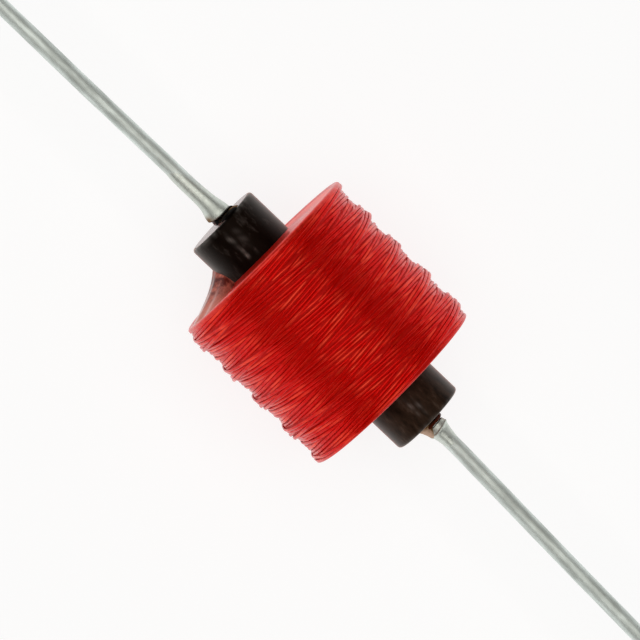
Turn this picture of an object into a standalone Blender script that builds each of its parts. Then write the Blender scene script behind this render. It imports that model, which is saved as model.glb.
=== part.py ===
"""Axial choke: a cross-wound coil of enamelled wire on a round core, with a lead at each end.

The coil's axis lies along X. The wire starts next to the core and leaves at the +X end, the start
end. It finishes at the outside and leaves at the -X end, the finish end. The part lies on its
coil, so the ground is z = 0. Everything is built about the coil's centre and then lifted.
All sizes are in metres.
"""

import math

import bmesh
import bpy
from mathutils import Matrix, Vector

MM = 0.001

# Driving dimensions of the coil
COIL_DIAMETER = 12.3 * MM
COIL_LENGTH = 10.8 * MM
COIL_RIM_RADIUS = 0.22 * MM
WIRE_DIAMETER = 0.215 * MM
WIRES_PER_LEAD = 11  # wires that fill one lead, the length that a wire moves along in one turn
GROOVE_DEPTH = 0.07 * MM
PASS_STEP = 0.08 * MM  # how far an unfinished pass of wire stands above the pass below it
RISING_COVER = 0.55  # share of a lead that the unfinished pass of rising wires has covered
FALLING_COVER = 0.45
PATTERN_LINE = 6  # line of the cross pattern at which the last rising wire lies

# Driving dimensions of the core
CORE_DIAMETER = 4.8 * MM
CORE_LENGTH = 16.7 * MM
CORE_EDGE_RADIUS = 0.22 * MM
CORE_SHIFT = -0.2 * MM  # the core's middle lies a little nearer the finish end than the coil's
CORE_LEAN = math.radians(1.35)  # the coil was wound slightly out of square with the core

# Driving dimensions of the leads, whose bends are (distance past the core, sideways) in metres
LEAD_DIAMETER = 0.95 * MM
LEAD_LENGTH = 31.75 * MM
LEAD_SEAT_DEPTH = 3.0 * MM
LEAD_STRAIGHT = 2.7 * MM
FINISH_LEAD_OFFSET = 0.35 * MM
FINISH_LEAD_TILT = math.radians(2.2)
FINISH_LEAD_BENDS = [(5.6 * MM, -0.09 * MM), (11.4 * MM, -0.25 * MM), (17.3 * MM, -0.37 * MM)]
FINISH_LEAD_TIP = -0.72 * MM
START_LEAD_OFFSET = 0.0 * MM
START_LEAD_TILT = math.radians(-1.2)
START_LEAD_BENDS = [(6.6 * MM, 0.13 * MM), (12.4 * MM, 0.03 * MM), (17.0 * MM, -0.02 * MM)]
START_LEAD_TIP = -0.22 * MM

# Driving dimensions of the solder, whose cone follows a power curve to a feather edge
FINISH_SOLDER_DIAMETER = 1.44 * MM
FINISH_SOLDER_LENGTH = 2.1 * MM
FINISH_SOLDER_SKEW = math.radians(17.0)
FINISH_SOLDER_CURVE = 1.7
START_SOLDER_DIAMETER = 1.5 * MM
START_SOLDER_LENGTH = 0.65 * MM
START_SOLDER_SKEW = math.radians(-10.5)
START_SOLDER_CURVE = 2.6
SOLDER_LIP = 0.09 * MM
SOLDER_FEATHER = 0.02 * MM

# Driving dimensions of the resin, the wraps and the cement
FINISH_BEAD_DIAMETER = 1.46 * MM
FINISH_BEAD_THICKNESS = 0.36 * MM
START_BEAD_DIAMETER = 1.4 * MM
START_BEAD_THICKNESS = 0.12 * MM
BEAD_WAIST = 0.05 * MM
WRAP_TURNS = 0.55
START_NECK_BARE = 0.2 * MM  # bare lead between the wire's turn and the solder
CEMENT_HEIGHT = 1.3 * MM
CEMENT_CURVE = 1.6
CEMENT_EDGE = 0.04 * MM
CEMENT_LOW_ANGLE = math.radians(199.0)
CEMENT_HIGH_ANGLE = math.radians(146.0)

# Where the coil's two wire ends run, as angles about the axis from +Y towards +Z
FINISH_TAIL_FACE_ANGLE = math.radians(238.0)
FINISH_TAIL_END_ANGLE = math.radians(262.0)

# The film between two pieces that touch: the whole part is small, so the film is thin
SEAT_GAP = 0.02 * MM

# How finely round forms are divided
COIL_COLUMNS = 4 * WIRES_PER_LEAD
ROUND_SIDES = 24
RIM_STEPS = 3
CURVE_RESOLUTION = 2
LEAD_RESOLUTION = 4

# Sizes that follow from the driving dimensions
COIL_RADIUS = COIL_DIAMETER / 2
CORE_RADIUS = CORE_DIAMETER / 2
LEAD_RADIUS = LEAD_DIAMETER / 2
WIRE_RADIUS = WIRE_DIAMETER / 2
FACE = COIL_LENGTH / 2
WIRES_ACROSS = round((COIL_LENGTH - 2 * COIL_RIM_RADIUS) / WIRE_DIAMETER)
WIRE_PITCH = (COIL_LENGTH - 2 * COIL_RIM_RADIUS) / WIRES_ACROSS
LINES_PER_LEAD = 2 * WIRES_PER_LEAD  # a line every half pitch: on a wire and between two wires
WIRE_STAND = WIRE_RADIUS + SEAT_GAP  # how far a wire's middle stands off what it lies on
WRAP_RADIUS = LEAD_RADIUS + WIRE_STAND
WRAP_PITCH = WIRE_DIAMETER * 1.05
START_NECK = (
    START_BEAD_THICKNESS
    + WIRE_DIAMETER
    + WRAP_PITCH * WRAP_TURNS
    + START_NECK_BARE
    + 3 * SEAT_GAP
    + math.tan(abs(START_SOLDER_SKEW)) * START_SOLDER_DIAMETER / 2
)
FINISH_NECK = FINISH_BEAD_THICKNESS + SEAT_GAP


def clear_scene():
    """Remove the objects of the open scene."""
    for old in list(bpy.context.scene.objects):
        bpy.data.objects.remove(old, do_unlink=True)


def add_collection(name):
    """Add a collection to the scene."""
    collection = bpy.data.collections.new(name)
    bpy.context.scene.collection.children.link(collection)
    return collection


def add_material(name, colour, roughness, metallic):
    """Make a Principled material from an sRGB-like colour, a roughness and a metallic value."""
    material = bpy.data.materials.new(name)
    material.use_nodes = True
    shader = material.node_tree.nodes["Principled BSDF"]
    shader.inputs["Base Color"].default_value = (*colour, 1.0)
    shader.inputs["Roughness"].default_value = roughness
    shader.inputs["Metallic"].default_value = metallic
    return material


def add_object(name, data, collection, frame, material=None):
    """Put mesh or curve data in a collection as an object carried by the frame empty."""
    thing = bpy.data.objects.new(name, data)
    collection.objects.link(thing)
    thing.parent = frame
    if material is not None:
        data.materials.append(material)
    return thing


def around_axis(x, radius, angle):
    """Give the point at a place along the coil's axis, a radius and an angle from +Y to +Z."""
    return Vector((x, radius * math.cos(angle), radius * math.sin(angle)))


def core_middle(x):
    """Give how far the leaning core's middle lies to the side of the coil's axis at x."""
    return (x - CORE_SHIFT) * math.tan(CORE_LEAN)


def on_core(x, angle, stand):
    """Give a point that stands off the core's surface at x, at an angle about the core."""
    return around_axis(x, CORE_RADIUS + stand, angle) + Vector((0, core_middle(x), 0))


def core_edge(x, angle, stand):
    """Give how far the core's surface reaches from the coil's axis along an angle."""
    middle = core_middle(x)
    reach = CORE_RADIUS + stand
    return middle * math.cos(angle) + math.sqrt(reach**2 - (middle * math.sin(angle)) ** 2)


def core_frame():
    """Give the core's own frame: its middle and its lean."""
    return Matrix.Translation((CORE_SHIFT, 0, 0)) @ Matrix.Rotation(CORE_LEAN, 4, "Z")


def lead_frame(end, offset, tilt):
    """Give a lead's frame at the core's end face, with X along the lead, out of the core."""
    turn = 0.0 if end > 0 else math.pi
    place = Matrix.Translation((end * CORE_LENGTH / 2, offset, 0))
    return core_frame() @ place @ Matrix.Rotation(turn + tilt, 4, "Z")


def polygon_reach(radius, sides):
    """Give the corner radius of a polygon whose flat sides stay outside a circle."""
    return radius / math.cos(math.pi / sides)


def smooth_route(points, steps):
    """Read a smooth curve through the points, with a number of steps between each two."""
    ends = [2 * points[0] - points[1]] + points + [2 * points[-1] - points[-2]]
    route = [points[0]]
    for before, here, there, after in zip(ends, ends[1:], ends[2:], ends[3:]):
        for step in range(1, steps + 1):
            t = step / steps
            bend = (
                (there - before) * t
                + (2 * before - 5 * here + 4 * there - after) * t**2
                + (3 * here - before - 3 * there + after) * t**3
            )
            route.append(here + bend / 2)
    return route


def round_wire(name, route, diameter, resolution):
    """Make curve data for a round wire with closed ends along a route."""
    curve = bpy.data.curves.new(name, "CURVE")
    curve.dimensions = "3D"
    curve.bevel_depth = diameter / 2
    curve.bevel_resolution = resolution
    curve.use_fill_caps = True
    spline = curve.splines.new("POLY")
    spline.points.add(len(route) - 1)
    for point, place in zip(spline.points, route):
        point.co = (*place, 1.0)
    return curve


def spin_section(section, sides, angle=2 * math.pi):
    """Turn a closed section, points (x, radius), about X. Each vertex knows its section point."""
    shape = bmesh.new()
    station = shape.verts.layers.int.new("station")
    corners = []
    for number, (x, radius) in enumerate(section):
        corner = shape.verts.new((x, radius, 0))
        corner[station] = number
        corners.append(corner)
    edges = [shape.edges.new(pair) for pair in zip(corners, corners[1:] + corners[:1])]
    full_turn = math.isclose(angle, 2 * math.pi)
    bmesh.ops.spin(
        shape,
        geom=corners + edges,
        axis=(1, 0, 0),
        cent=(0, 0, 0),
        angle=angle,
        steps=sides,
        use_merge=full_turn,
    )
    if not full_turn:
        open_edges = [edge for edge in shape.edges if edge.is_boundary]
        bmesh.ops.holes_fill(shape, edges=open_edges, sides=0)
    return shape, station


def vertex_angle(vertex):
    """Give a vertex's angle about X, from 0 to a full turn."""
    return math.atan2(vertex.co.z, vertex.co.y) % (2 * math.pi)


def finish_mesh(name, shape, quad_method="BEAUTY"):
    """Turn a worked shape into triangles and mesh data with outward faces, shaded smooth."""
    bmesh.ops.triangulate(shape, faces=shape.faces[:], quad_method=quad_method)
    bmesh.ops.recalc_face_normals(shape, faces=shape.faces[:])
    mesh = bpy.data.meshes.new(name)
    shape.to_mesh(mesh)
    shape.free()
    mesh.shade_smooth()
    mesh.set_sharp_from_angle(angle=math.radians(40))
    return mesh


def coil_section():
    """Give the coil's section: a line at each half pitch, round rims, faces and the bore."""
    half_ridged = FACE - COIL_RIM_RADIUS
    lines = 2 * WIRES_ACROSS
    outside = [(-half_ridged + line * WIRE_PITCH / 2, COIL_RADIUS) for line in range(lines + 1)]
    rim = []
    for step in range(1, RIM_STEPS + 1):
        turn = math.pi / 2 * step / RIM_STEPS
        x = half_ridged + COIL_RIM_RADIUS * math.sin(turn)
        rim.append((x, COIL_RADIUS - COIL_RIM_RADIUS * (1 - math.cos(turn))))
    face = [(FACE, (COIL_RADIUS + CORE_RADIUS) / 2), (FACE, CORE_RADIUS)]
    far_side = rim + face
    near_side = [(-x, radius) for x, radius in reversed(far_side)]
    return outside + far_side + near_side, len(outside), len(rim)


def wire_relief(row, column):
    """Give how deep a point of the cross winding lies below its proudest wires.

    Rising wires move towards +X as they go round, and falling wires towards -X. A line lies on
    every half pitch of each, and the points are where a rising and a falling line cross. Rising
    wires were laid one after another towards -X and falling ones towards +X, so whichever line
    was laid last at a point is on top there. Even lines are wires, and odd ones lie between two.
    """
    odd = column % 2
    rising = (2 * row + odd - column) // 2
    falling = (2 * row + odd + column) // 2
    since_rising = (rising - PATTERN_LINE) % LINES_PER_LEAD
    since_falling = (PATTERN_LINE - falling) % LINES_PER_LEAD
    between_wires = min(since_rising, since_falling) % 2
    uncovered = (since_rising >= RISING_COVER * LINES_PER_LEAD) + (
        since_falling >= FALLING_COVER * LINES_PER_LEAD
    )
    return GROOVE_DEPTH * between_wires + PASS_STEP * uncovered


def make_coil():
    """Make the coil as one solid, with the crossing turns of its outside as ridges."""
    section, row_count, rim_count = coil_section()
    shape, station = spin_section(section, COIL_COLUMNS)
    bore_stations = (row_count + rim_count + 1, row_count + rim_count + 2)
    rim_rows = {row_count + step: row_count - 1 for step in range(rim_count)}
    rim_rows.update({len(section) - 1 - step: 0 for step in range(rim_count)})
    for vertex in shape.verts:
        column = round(vertex_angle(vertex) / (2 * math.pi) * COIL_COLUMNS) % COIL_COLUMNS
        angle = 2 * math.pi * column / COIL_COLUMNS
        place, radius = section[vertex[station]]
        row = vertex[station]
        if row in bore_stations:
            bore = core_edge(place, angle, 0)
            vertex.co = around_axis(place, polygon_reach(bore + SEAT_GAP, COIL_COLUMNS), angle)
        elif row in rim_rows:
            radius -= wire_relief(rim_rows[row], column)
            vertex.co = around_axis(place, radius, angle)
        elif row < row_count:
            place += WIRE_PITCH / 8 * (1 if column % 2 else -1)
            vertex.co = around_axis(place, radius - wire_relief(row, column), angle)
    return finish_mesh("coil", shape, quad_method="SHORT_EDGE")


def hole_cutter(name, end, offset, tilt, cutters, frame):
    """Add the cutter for the blind hole in a core's end that a lead is cemented into."""
    depth = LEAD_SEAT_DEPTH + SEAT_GAP
    over = CORE_EDGE_RADIUS
    shape = bmesh.new()
    reach = polygon_reach(LEAD_RADIUS + SEAT_GAP, ROUND_SIDES)
    middle = Matrix.Translation(((over - depth) / 2, 0, 0)) @ Matrix.Rotation(math.pi / 2, 4, "Y")
    bmesh.ops.create_cone(
        shape,
        cap_ends=True,
        segments=ROUND_SIDES,
        radius1=reach,
        radius2=reach,
        depth=over + depth,
        matrix=lead_frame(end, offset, tilt) @ middle,
    )
    cutter = add_object(name, finish_mesh(name, shape), cutters, frame)
    cutter.hide_render = True
    cutter.display_type = "WIRE"
    return cutter


def make_core(parts, cutters, frame, material):
    """Add the round core, with rounded end edges and a blind hole in each end."""
    shape = bmesh.new()
    along_x = Matrix.Rotation(math.pi / 2, 4, "X") @ Matrix.Rotation(math.pi / 2, 4, "Y")
    bmesh.ops.create_cone(
        shape,
        cap_ends=True,
        segments=COIL_COLUMNS,
        radius1=CORE_RADIUS,
        radius2=CORE_RADIUS,
        depth=CORE_LENGTH,
        matrix=core_frame() @ along_x,
    )
    mesh = bpy.data.meshes.new("core")
    shape.to_mesh(mesh)
    shape.free()
    mesh.shade_smooth()
    core = add_object("core", mesh, parts, frame, material)
    edges = core.modifiers.new("rounded_ends", "BEVEL")
    edges.width = CORE_EDGE_RADIUS
    edges.segments = 3
    edges.limit_method = "ANGLE"
    edges.angle_limit = math.radians(40)
    ends = (
        ("finish_hole_cutter", -1, FINISH_LEAD_OFFSET, FINISH_LEAD_TILT),
        ("start_hole_cutter", 1, START_LEAD_OFFSET, START_LEAD_TILT),
    )
    for name, end, offset, tilt in ends:
        hole = core.modifiers.new(name, "BOOLEAN")
        hole.operation = "DIFFERENCE"
        hole.solver = "EXACT"
        hole.object = hole_cutter(name, end, offset, tilt, cutters, frame)
    return core


def lead_route(end, offset, tilt, bends, tip):
    """Give a lead's route: straight out of its hole, then through its slight hand-made bends."""
    place = lead_frame(end, offset, tilt)
    inner_end = place @ Vector((-LEAD_SEAT_DEPTH, 0, 0))
    straight_end = place @ Vector((LEAD_STRAIGHT, 0, 0))
    core_end = end * CORE_LENGTH / 2 + CORE_SHIFT
    loose = [Vector((core_end + end * past, side, 0)) for past, side in bends]
    loose.append(Vector((core_end + end * LEAD_LENGTH, tip, 0)))
    return [inner_end] + smooth_route([straight_end] + loose, 4)


def collar_mesh(name, outline, place, near_skew, far_skew):
    """Make a collar round a lead from its outer outline, (distance, radius) from near to far.

    The near and far ends are cut at a slant, and the slant between them fades from one to the
    other.
    """
    bore = polygon_reach(LEAD_RADIUS + SEAT_GAP, ROUND_SIDES)
    near, far = outline[0][0], outline[-1][0]
    section = outline + [(far, bore), (near, bore)]
    shape, _ = spin_section(section, ROUND_SIDES)
    for vertex in shape.verts:
        share = (vertex.co.x - near) / (far - near)
        slant = math.tan(near_skew) * (1 - share) + math.tan(far_skew) * share
        vertex.co.x += vertex.co.y * slant
    shape.transform(place)
    return finish_mesh(name, shape)


def solder_outline(neck, diameter, length, curve):
    """Give the outline of a solder cone: a thin lip, then a hollow slope to a feather edge."""
    feather = polygon_reach(LEAD_RADIUS + SEAT_GAP, ROUND_SIDES) + SOLDER_FEATHER
    lip = diameter / 2
    slope_top = lip - SOLDER_LIP / 2
    outline = [(neck, slope_top), (neck + SOLDER_LIP / 2, lip), (neck + SOLDER_LIP, slope_top)]
    steps = 5
    for step in range(1, steps + 1):
        share = step / steps
        radius = feather + (slope_top - feather) * (1 - share) ** curve
        outline.append((neck + SOLDER_LIP + (length - SOLDER_LIP) * share, radius))
    return outline


def bead_outline(thickness, diameter):
    """Give the outline of a bead of resin that sits on the core's end, with a slight waist."""
    near, far = SEAT_GAP, thickness
    radius = diameter / 2
    middle = (near + far) / 2
    return [(near, radius), (middle, radius - BEAD_WAIST), (far, radius - BEAD_WAIST * 0.8)]


def cement_height(share):
    """Give how far the cement stands off the coil's face, from the core (0) to the rim (1)."""
    return CEMENT_EDGE + (CEMENT_HEIGHT - CEMENT_EDGE) * (1 - share) ** CEMENT_CURVE


def make_cement():
    """Make the web of cement that climbs from the coil's finish face onto the core."""
    steps = 7
    rim = COIL_RADIUS - COIL_RIM_RADIUS - GROOVE_DEPTH - 2 * PASS_STEP
    shares = [step / steps for step in range(steps + 1)]
    section = [(0, CORE_RADIUS + (rim - CORE_RADIUS) * share) for share in shares]
    section += [(-1, radius) for _, radius in reversed(section)]
    spread = CEMENT_LOW_ANGLE - CEMENT_HIGH_ANGLE
    shape, station = spin_section(section, 10, spread)
    for vertex in shape.verts:
        turned = vertex_angle(vertex)
        if turned > (spread + 2 * math.pi) / 2:
            turned -= 2 * math.pi
        angle = CEMENT_HIGH_ANGLE + turned
        number = vertex[station]
        outer = number > steps
        share = shares[2 * steps + 1 - number] if outer else shares[number]
        swell = math.sin(math.pi * turned / spread) ** 0.7 if 0 < turned < spread else 0
        lift = CEMENT_EDGE + (cement_height(share) - CEMENT_EDGE) * max(swell, 0)
        x = -FACE - SEAT_GAP - (lift if outer else 0)
        inner = polygon_reach(core_edge(x, angle, SEAT_GAP), COIL_COLUMNS)
        vertex.co = around_axis(x, inner + (rim - inner) * share, angle)
    return finish_mesh("face_cement", shape)


def finish_tail_route():
    """Give the finish wire's route: down the coil's face, along the core and up to the bead."""
    face_x = -FACE - WIRE_STAND
    face_angle = FINISH_TAIL_FACE_ANGLE
    rim = COIL_RADIUS - COIL_RIM_RADIUS - GROOVE_DEPTH - 2 * PASS_STEP - WIRE_RADIUS
    low = core_edge(face_x, face_angle, WIRE_STAND)
    bend = 3 * WIRE_DIAMETER
    place = lead_frame(-1, FINISH_LEAD_OFFSET, FINISH_LEAD_TILT)
    core_end = CORE_SHIFT - CORE_LENGTH / 2
    run_start = -FACE - bend
    run_end = core_end + CORE_EDGE_RADIUS
    points = [around_axis(face_x, rim, face_angle)]
    points.append(around_axis(face_x, (rim + low) / 2, face_angle))
    points.append(around_axis(face_x, low + bend, face_angle))
    points.append(around_axis(face_x - bend * 0.3, low + bend * 0.3, face_angle))
    turned = FINISH_TAIL_END_ANGLE - face_angle
    for step in range(4):
        share = step / 3
        x = run_start + (run_end - run_start) * share
        points.append(on_core(x, face_angle + turned * share, WIRE_STAND))
    end_x = core_end - WIRE_STAND - 2 * SEAT_GAP
    over = on_core(core_end, FINISH_TAIL_END_ANGLE, WIRE_STAND - CORE_EDGE_RADIUS * 0.3)
    over.x = core_end - WIRE_STAND * 0.3
    points.append(over)
    down = on_core(end_x, FINISH_TAIL_END_ANGLE, -2 * CORE_EDGE_RADIUS)
    points.append(down)
    bead_side = place @ Vector((0, WIRE_DIAMETER, -FINISH_BEAD_DIAMETER / 2 - 2 * SEAT_GAP))
    bead_side.x = end_x
    points.append(down.lerp(bead_side, 0.5))
    points.append(bead_side)
    return smooth_route(points, 3)


def start_tail_route():
    """Give the start wire's route: from under the coil, along the core and round the lead."""
    place = lead_frame(1, START_LEAD_OFFSET, START_LEAD_TILT)
    core_end = CORE_SHIFT + CORE_LENGTH / 2
    side = place.translation.y + WRAP_RADIUS
    height = CORE_RADIUS + WIRE_STAND
    middle = core_middle(core_end)
    angle = -math.acos((side - middle) / height)
    run_start = FACE + SEAT_GAP
    run_end = core_end - CORE_EDGE_RADIUS
    points = [on_core(run_start, angle, WIRE_STAND)]
    points.append(on_core((run_start + run_end) / 2, angle, WIRE_STAND))
    points.append(on_core(run_end, angle, WIRE_STAND))
    over = on_core(core_end, angle, WIRE_STAND - CORE_EDGE_RADIUS * 0.3)
    over.x = core_end + WIRE_STAND * 0.3
    points.append(over)
    wrap_start = START_BEAD_THICKNESS + WIRE_STAND + SEAT_GAP
    bead_clear = START_BEAD_DIAMETER / 2 + WIRE_STAND
    low = WIRE_STAND + 2 * SEAT_GAP
    points.append(place @ Vector((low, WRAP_RADIUS, -CORE_RADIUS + 2 * CORE_EDGE_RADIUS)))
    points.append(place @ Vector((low, WRAP_RADIUS, -1.9 * bead_clear)))
    points.append(place @ Vector((wrap_start, WRAP_RADIUS, -bead_clear)))
    route = smooth_route(points, 3)
    steps_per_turn = 12
    for step in range(round(WRAP_TURNS * steps_per_turn) + 1):
        turns = step / steps_per_turn
        reach = polygon_reach(WRAP_RADIUS, steps_per_turn)
        route.append(place @ around_axis(wrap_start + WRAP_PITCH * turns, reach, turns * 2 * math.pi))
    return route


def set_on_ground(frame, things):
    """Lift the frame so that the part's box stands on z = 0 with its middle on the Z axis."""
    bpy.context.view_layer.update()
    graph = bpy.context.evaluated_depsgraph_get()
    corners = []
    for thing in things:
        shown = thing.evaluated_get(graph)
        mesh = shown.to_mesh()
        corners += [shown.matrix_world @ vertex.co for vertex in mesh.vertices]
        shown.to_mesh_clear()
    low = [min(corner[axis] for corner in corners) for axis in range(3)]
    high = [max(corner[axis] for corner in corners) for axis in range(3)]
    frame.location = (-(low[0] + high[0]) / 2, -(low[1] + high[1]) / 2, -low[2])


def main():
    """Build the choke."""
    clear_scene()
    parts = add_collection("axial_inductor")
    cutters = add_collection("cutters")
    frame = bpy.data.objects.new("coil_centre", None)
    parts.objects.link(frame)

    enamel = add_material("red_enamelled_copper", (0.55, 0.02, 0.02), 0.35, 0.0)
    iron = add_material("black_core", (0.012, 0.011, 0.01), 0.45, 0.0)
    tin = add_material("tinned_copper", (0.62, 0.66, 0.62), 0.35, 1.0)
    solder = add_material("solder", (0.6, 0.63, 0.62), 0.3, 1.0)
    resin = add_material("amber_resin", (0.1, 0.03, 0.008), 0.25, 0.0)
    cement = add_material("clear_cement", (0.45, 0.25, 0.22), 0.3, 0.0)

    finish_place = lead_frame(-1, FINISH_LEAD_OFFSET, FINISH_LEAD_TILT)
    start_place = lead_frame(1, START_LEAD_OFFSET, START_LEAD_TILT)
    finish_route = lead_route(
        -1, FINISH_LEAD_OFFSET, FINISH_LEAD_TILT, FINISH_LEAD_BENDS, FINISH_LEAD_TIP
    )
    start_route = lead_route(
        1, START_LEAD_OFFSET, START_LEAD_TILT, START_LEAD_BENDS, START_LEAD_TIP
    )
    finish_cone = solder_outline(
        FINISH_NECK, FINISH_SOLDER_DIAMETER, FINISH_SOLDER_LENGTH, FINISH_SOLDER_CURVE
    )
    start_cone = solder_outline(
        START_NECK, START_SOLDER_DIAMETER, START_SOLDER_LENGTH, START_SOLDER_CURVE
    )
    finish_bead = bead_outline(FINISH_BEAD_THICKNESS, FINISH_BEAD_DIAMETER)
    start_bead = bead_outline(START_BEAD_THICKNESS, START_BEAD_DIAMETER)

    pieces = (
        ("coil", make_coil(), enamel),
        ("face_cement", make_cement(), cement),
        ("finish_lead", round_wire("finish_lead", finish_route, LEAD_DIAMETER, LEAD_RESOLUTION), tin),
        ("start_lead", round_wire("start_lead", start_route, LEAD_DIAMETER, LEAD_RESOLUTION), tin),
        (
            "finish_solder",
            collar_mesh("finish_solder", finish_cone, finish_place, FINISH_SOLDER_SKEW, 0),
            solder,
        ),
        (
            "start_solder",
            collar_mesh("start_solder", start_cone, start_place, START_SOLDER_SKEW, 0),
            solder,
        ),
        (
            "finish_bead",
            collar_mesh(
                "finish_bead", finish_bead, finish_place, FINISH_LEAD_TILT, FINISH_SOLDER_SKEW
            ),
            resin,
        ),
        (
            "start_bead",
            collar_mesh("start_bead", start_bead, start_place, START_LEAD_TILT, START_LEAD_TILT),
            resin,
        ),
        (
            "finish_tail",
            round_wire("finish_tail", finish_tail_route(), WIRE_DIAMETER, CURVE_RESOLUTION),
            enamel,
        ),
        (
            "start_tail",
            round_wire("start_tail", start_tail_route(), WIRE_DIAMETER, CURVE_RESOLUTION),
            enamel,
        ),
    )
    made = [make_core(parts, cutters, frame, iron)]
    for name, data, material in pieces:
        made.append(add_object(name, data, parts, frame, material))
    set_on_ground(frame, made)


main()
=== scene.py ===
"""Looks for the axial choke: a cross-wound red coil on a black rod, with tinned wire leads.

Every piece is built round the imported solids, in their own frame. Lengths here are in millimetres and
turn into Blender's metres where a mesh is made. X runs along the choke from its finish lead to its
start lead, and an angle round X counts from +Y (0) towards +Z (90).
"""

import math
from functools import partial

import bpy
import numpy as np
from bpy.props import FloatProperty, FloatVectorProperty, IntProperty, PointerProperty, StringProperty
from mathutils import Matrix, Vector


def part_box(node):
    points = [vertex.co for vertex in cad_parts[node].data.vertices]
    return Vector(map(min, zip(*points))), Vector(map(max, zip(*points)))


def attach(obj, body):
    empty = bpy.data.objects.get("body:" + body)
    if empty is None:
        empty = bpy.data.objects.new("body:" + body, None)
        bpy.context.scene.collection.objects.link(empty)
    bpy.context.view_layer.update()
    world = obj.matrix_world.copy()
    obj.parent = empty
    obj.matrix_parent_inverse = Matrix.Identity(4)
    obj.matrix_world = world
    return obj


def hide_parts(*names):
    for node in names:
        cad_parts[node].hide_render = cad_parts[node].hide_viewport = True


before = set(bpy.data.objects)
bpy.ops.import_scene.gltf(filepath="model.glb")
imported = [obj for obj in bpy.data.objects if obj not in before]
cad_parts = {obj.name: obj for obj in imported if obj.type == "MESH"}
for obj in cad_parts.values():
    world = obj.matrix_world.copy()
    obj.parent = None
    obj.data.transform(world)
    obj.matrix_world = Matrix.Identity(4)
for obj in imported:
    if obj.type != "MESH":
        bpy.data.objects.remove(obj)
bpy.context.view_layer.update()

bl_info = {
    "name": "Axial Choke",
    "version": (1, 0, 0),
    "blender": (4, 5, 0),
    "location": "3D View > Sidebar > Choke",
    "description": "Winds and finishes a cross-wound axial choke round its solids",
    "category": "Object",
}

MM = 0.001
PICTURE = 640  # pixels along each side of the picture


def corners(node):
    """The lowest and highest corner of a solid, in millimetres."""
    low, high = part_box(node)
    return np.array(low) / MM, np.array(high) / MM


COIL_LOW, COIL_HIGH = corners("coil")
CORE_LOW, CORE_HIGH = corners("core")
LEAD_LOW, LEAD_HIGH = corners("start_lead")
COIL_CENTRE = (COIL_LOW + COIL_HIGH) / 2
CORE_CENTRE = (CORE_LOW + CORE_HIGH) / 2
# The rod leans, so where the leads leave it its ends lie a little inside its box
FINISH_END, START_END = CORE_LOW[0] + 0.04, CORE_HIGH[0] - 0.04


class CoilSizes(bpy.types.PropertyGroup):
    """How the coil is wound."""

    diameter: FloatProperty(
        name="Diameter",
        description="Over the proudest wires, in mm",
        default=float(COIL_HIGH[2] - COIL_LOW[2]),
    )
    length: FloatProperty(
        name="Length", description="From face to face, in mm", default=float(COIL_HIGH[0] - COIL_LOW[0])
    )
    wire: FloatProperty(name="Wire", description="Wire over its enamel, in mm", default=0.215)
    traverses: IntProperty(
        name="Turns there and back",
        description="Whole turns the wire nearly makes while it crosses the coil and comes back",
        default=9,
    )
    wires_per_lead: FloatProperty(
        name="Wires in one lead",
        description="Neighbouring wires that fill the length gained in one turn",
        default=11.06,
    )
    points_per_turn: IntProperty(name="Points in a turn", description="Corners along one turn", default=96)
    shown_turns: IntProperty(
        name="Turns shown", description="Outer turns drawn in full, in each of the two coats", default=98
    )
    wander: FloatProperty(
        name="Wander", description="How far the wire strays sideways, in mm", default=0.022
    )
    short_fall: FloatProperty(
        name="Short fall",
        description="Share of the traverse by which some turn-arounds fall short",
        default=0.008,
    )
    relief: FloatProperty(
        name="Relief",
        description="How much of the crossing wires' height is left once they bed in",
        default=0.55,
    )
    bedding: FloatProperty(
        name="Bedding", description="Share of the wire's height that varnish leaves showing", default=0.52
    )
    levelling: FloatProperty(
        name="Levelling",
        description="Share of the hills and hollows that varnish evens out, above and below",
        default=0.5,
    )
    rim_drop: FloatProperty(
        name="Rim drop", description="How far the wires sink at the rims, in mm", default=0.03
    )
    start_angle: FloatProperty(
        name="Start angle",
        description="Where round the core the first turn starts",
        default=math.radians(288.75),
        subtype="ANGLE",
    )
    lean: FloatProperty(
        name="Lean",
        description="How far the pile grew out of square",
        default=math.radians(0.56),
        subtype="ANGLE",
    )
    face_lean: FloatProperty(
        name="Face lean",
        description="How far the finish face leans out, its top first",
        default=math.radians(1.7),
        subtype="ANGLE",
    )
    seed: IntProperty(name="Seed", description="Picks one winding out of many", default=7)


class CoreSizes(bpy.types.PropertyGroup):
    """The black rod."""

    diameter: FloatProperty(
        name="Diameter", description="In mm", default=float(CORE_HIGH[2] - CORE_LOW[2])
    )
    length: FloatProperty(name="Length", description="Along its own axis, in mm", default=16.7)
    lean: FloatProperty(
        name="Lean",
        description="Turn about Z from the coil's axis",
        default=math.radians(1.35),
        subtype="ANGLE",
    )
    edge: FloatProperty(name="Edge radius", description="Worn edge of each end, in mm", default=0.2)
    waviness: FloatProperty(name="Waviness", description="Of the moulded skin, in mm", default=0.012)


class LeadSizes(bpy.types.PropertyGroup):
    """The two tinned leads and what joins them to the core."""

    diameter: FloatProperty(
        name="Lead diameter", description="In mm", default=float(LEAD_HIGH[2] - LEAD_LOW[2])
    )
    solder_edge: FloatProperty(
        name="Solder edge", description="Unevenness of the solder's back edge, in mm", default=0.05
    )
    bead_lumps: FloatProperty(name="Resin lumps", description="Unevenness of the resin, in mm", default=0.06)


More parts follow.
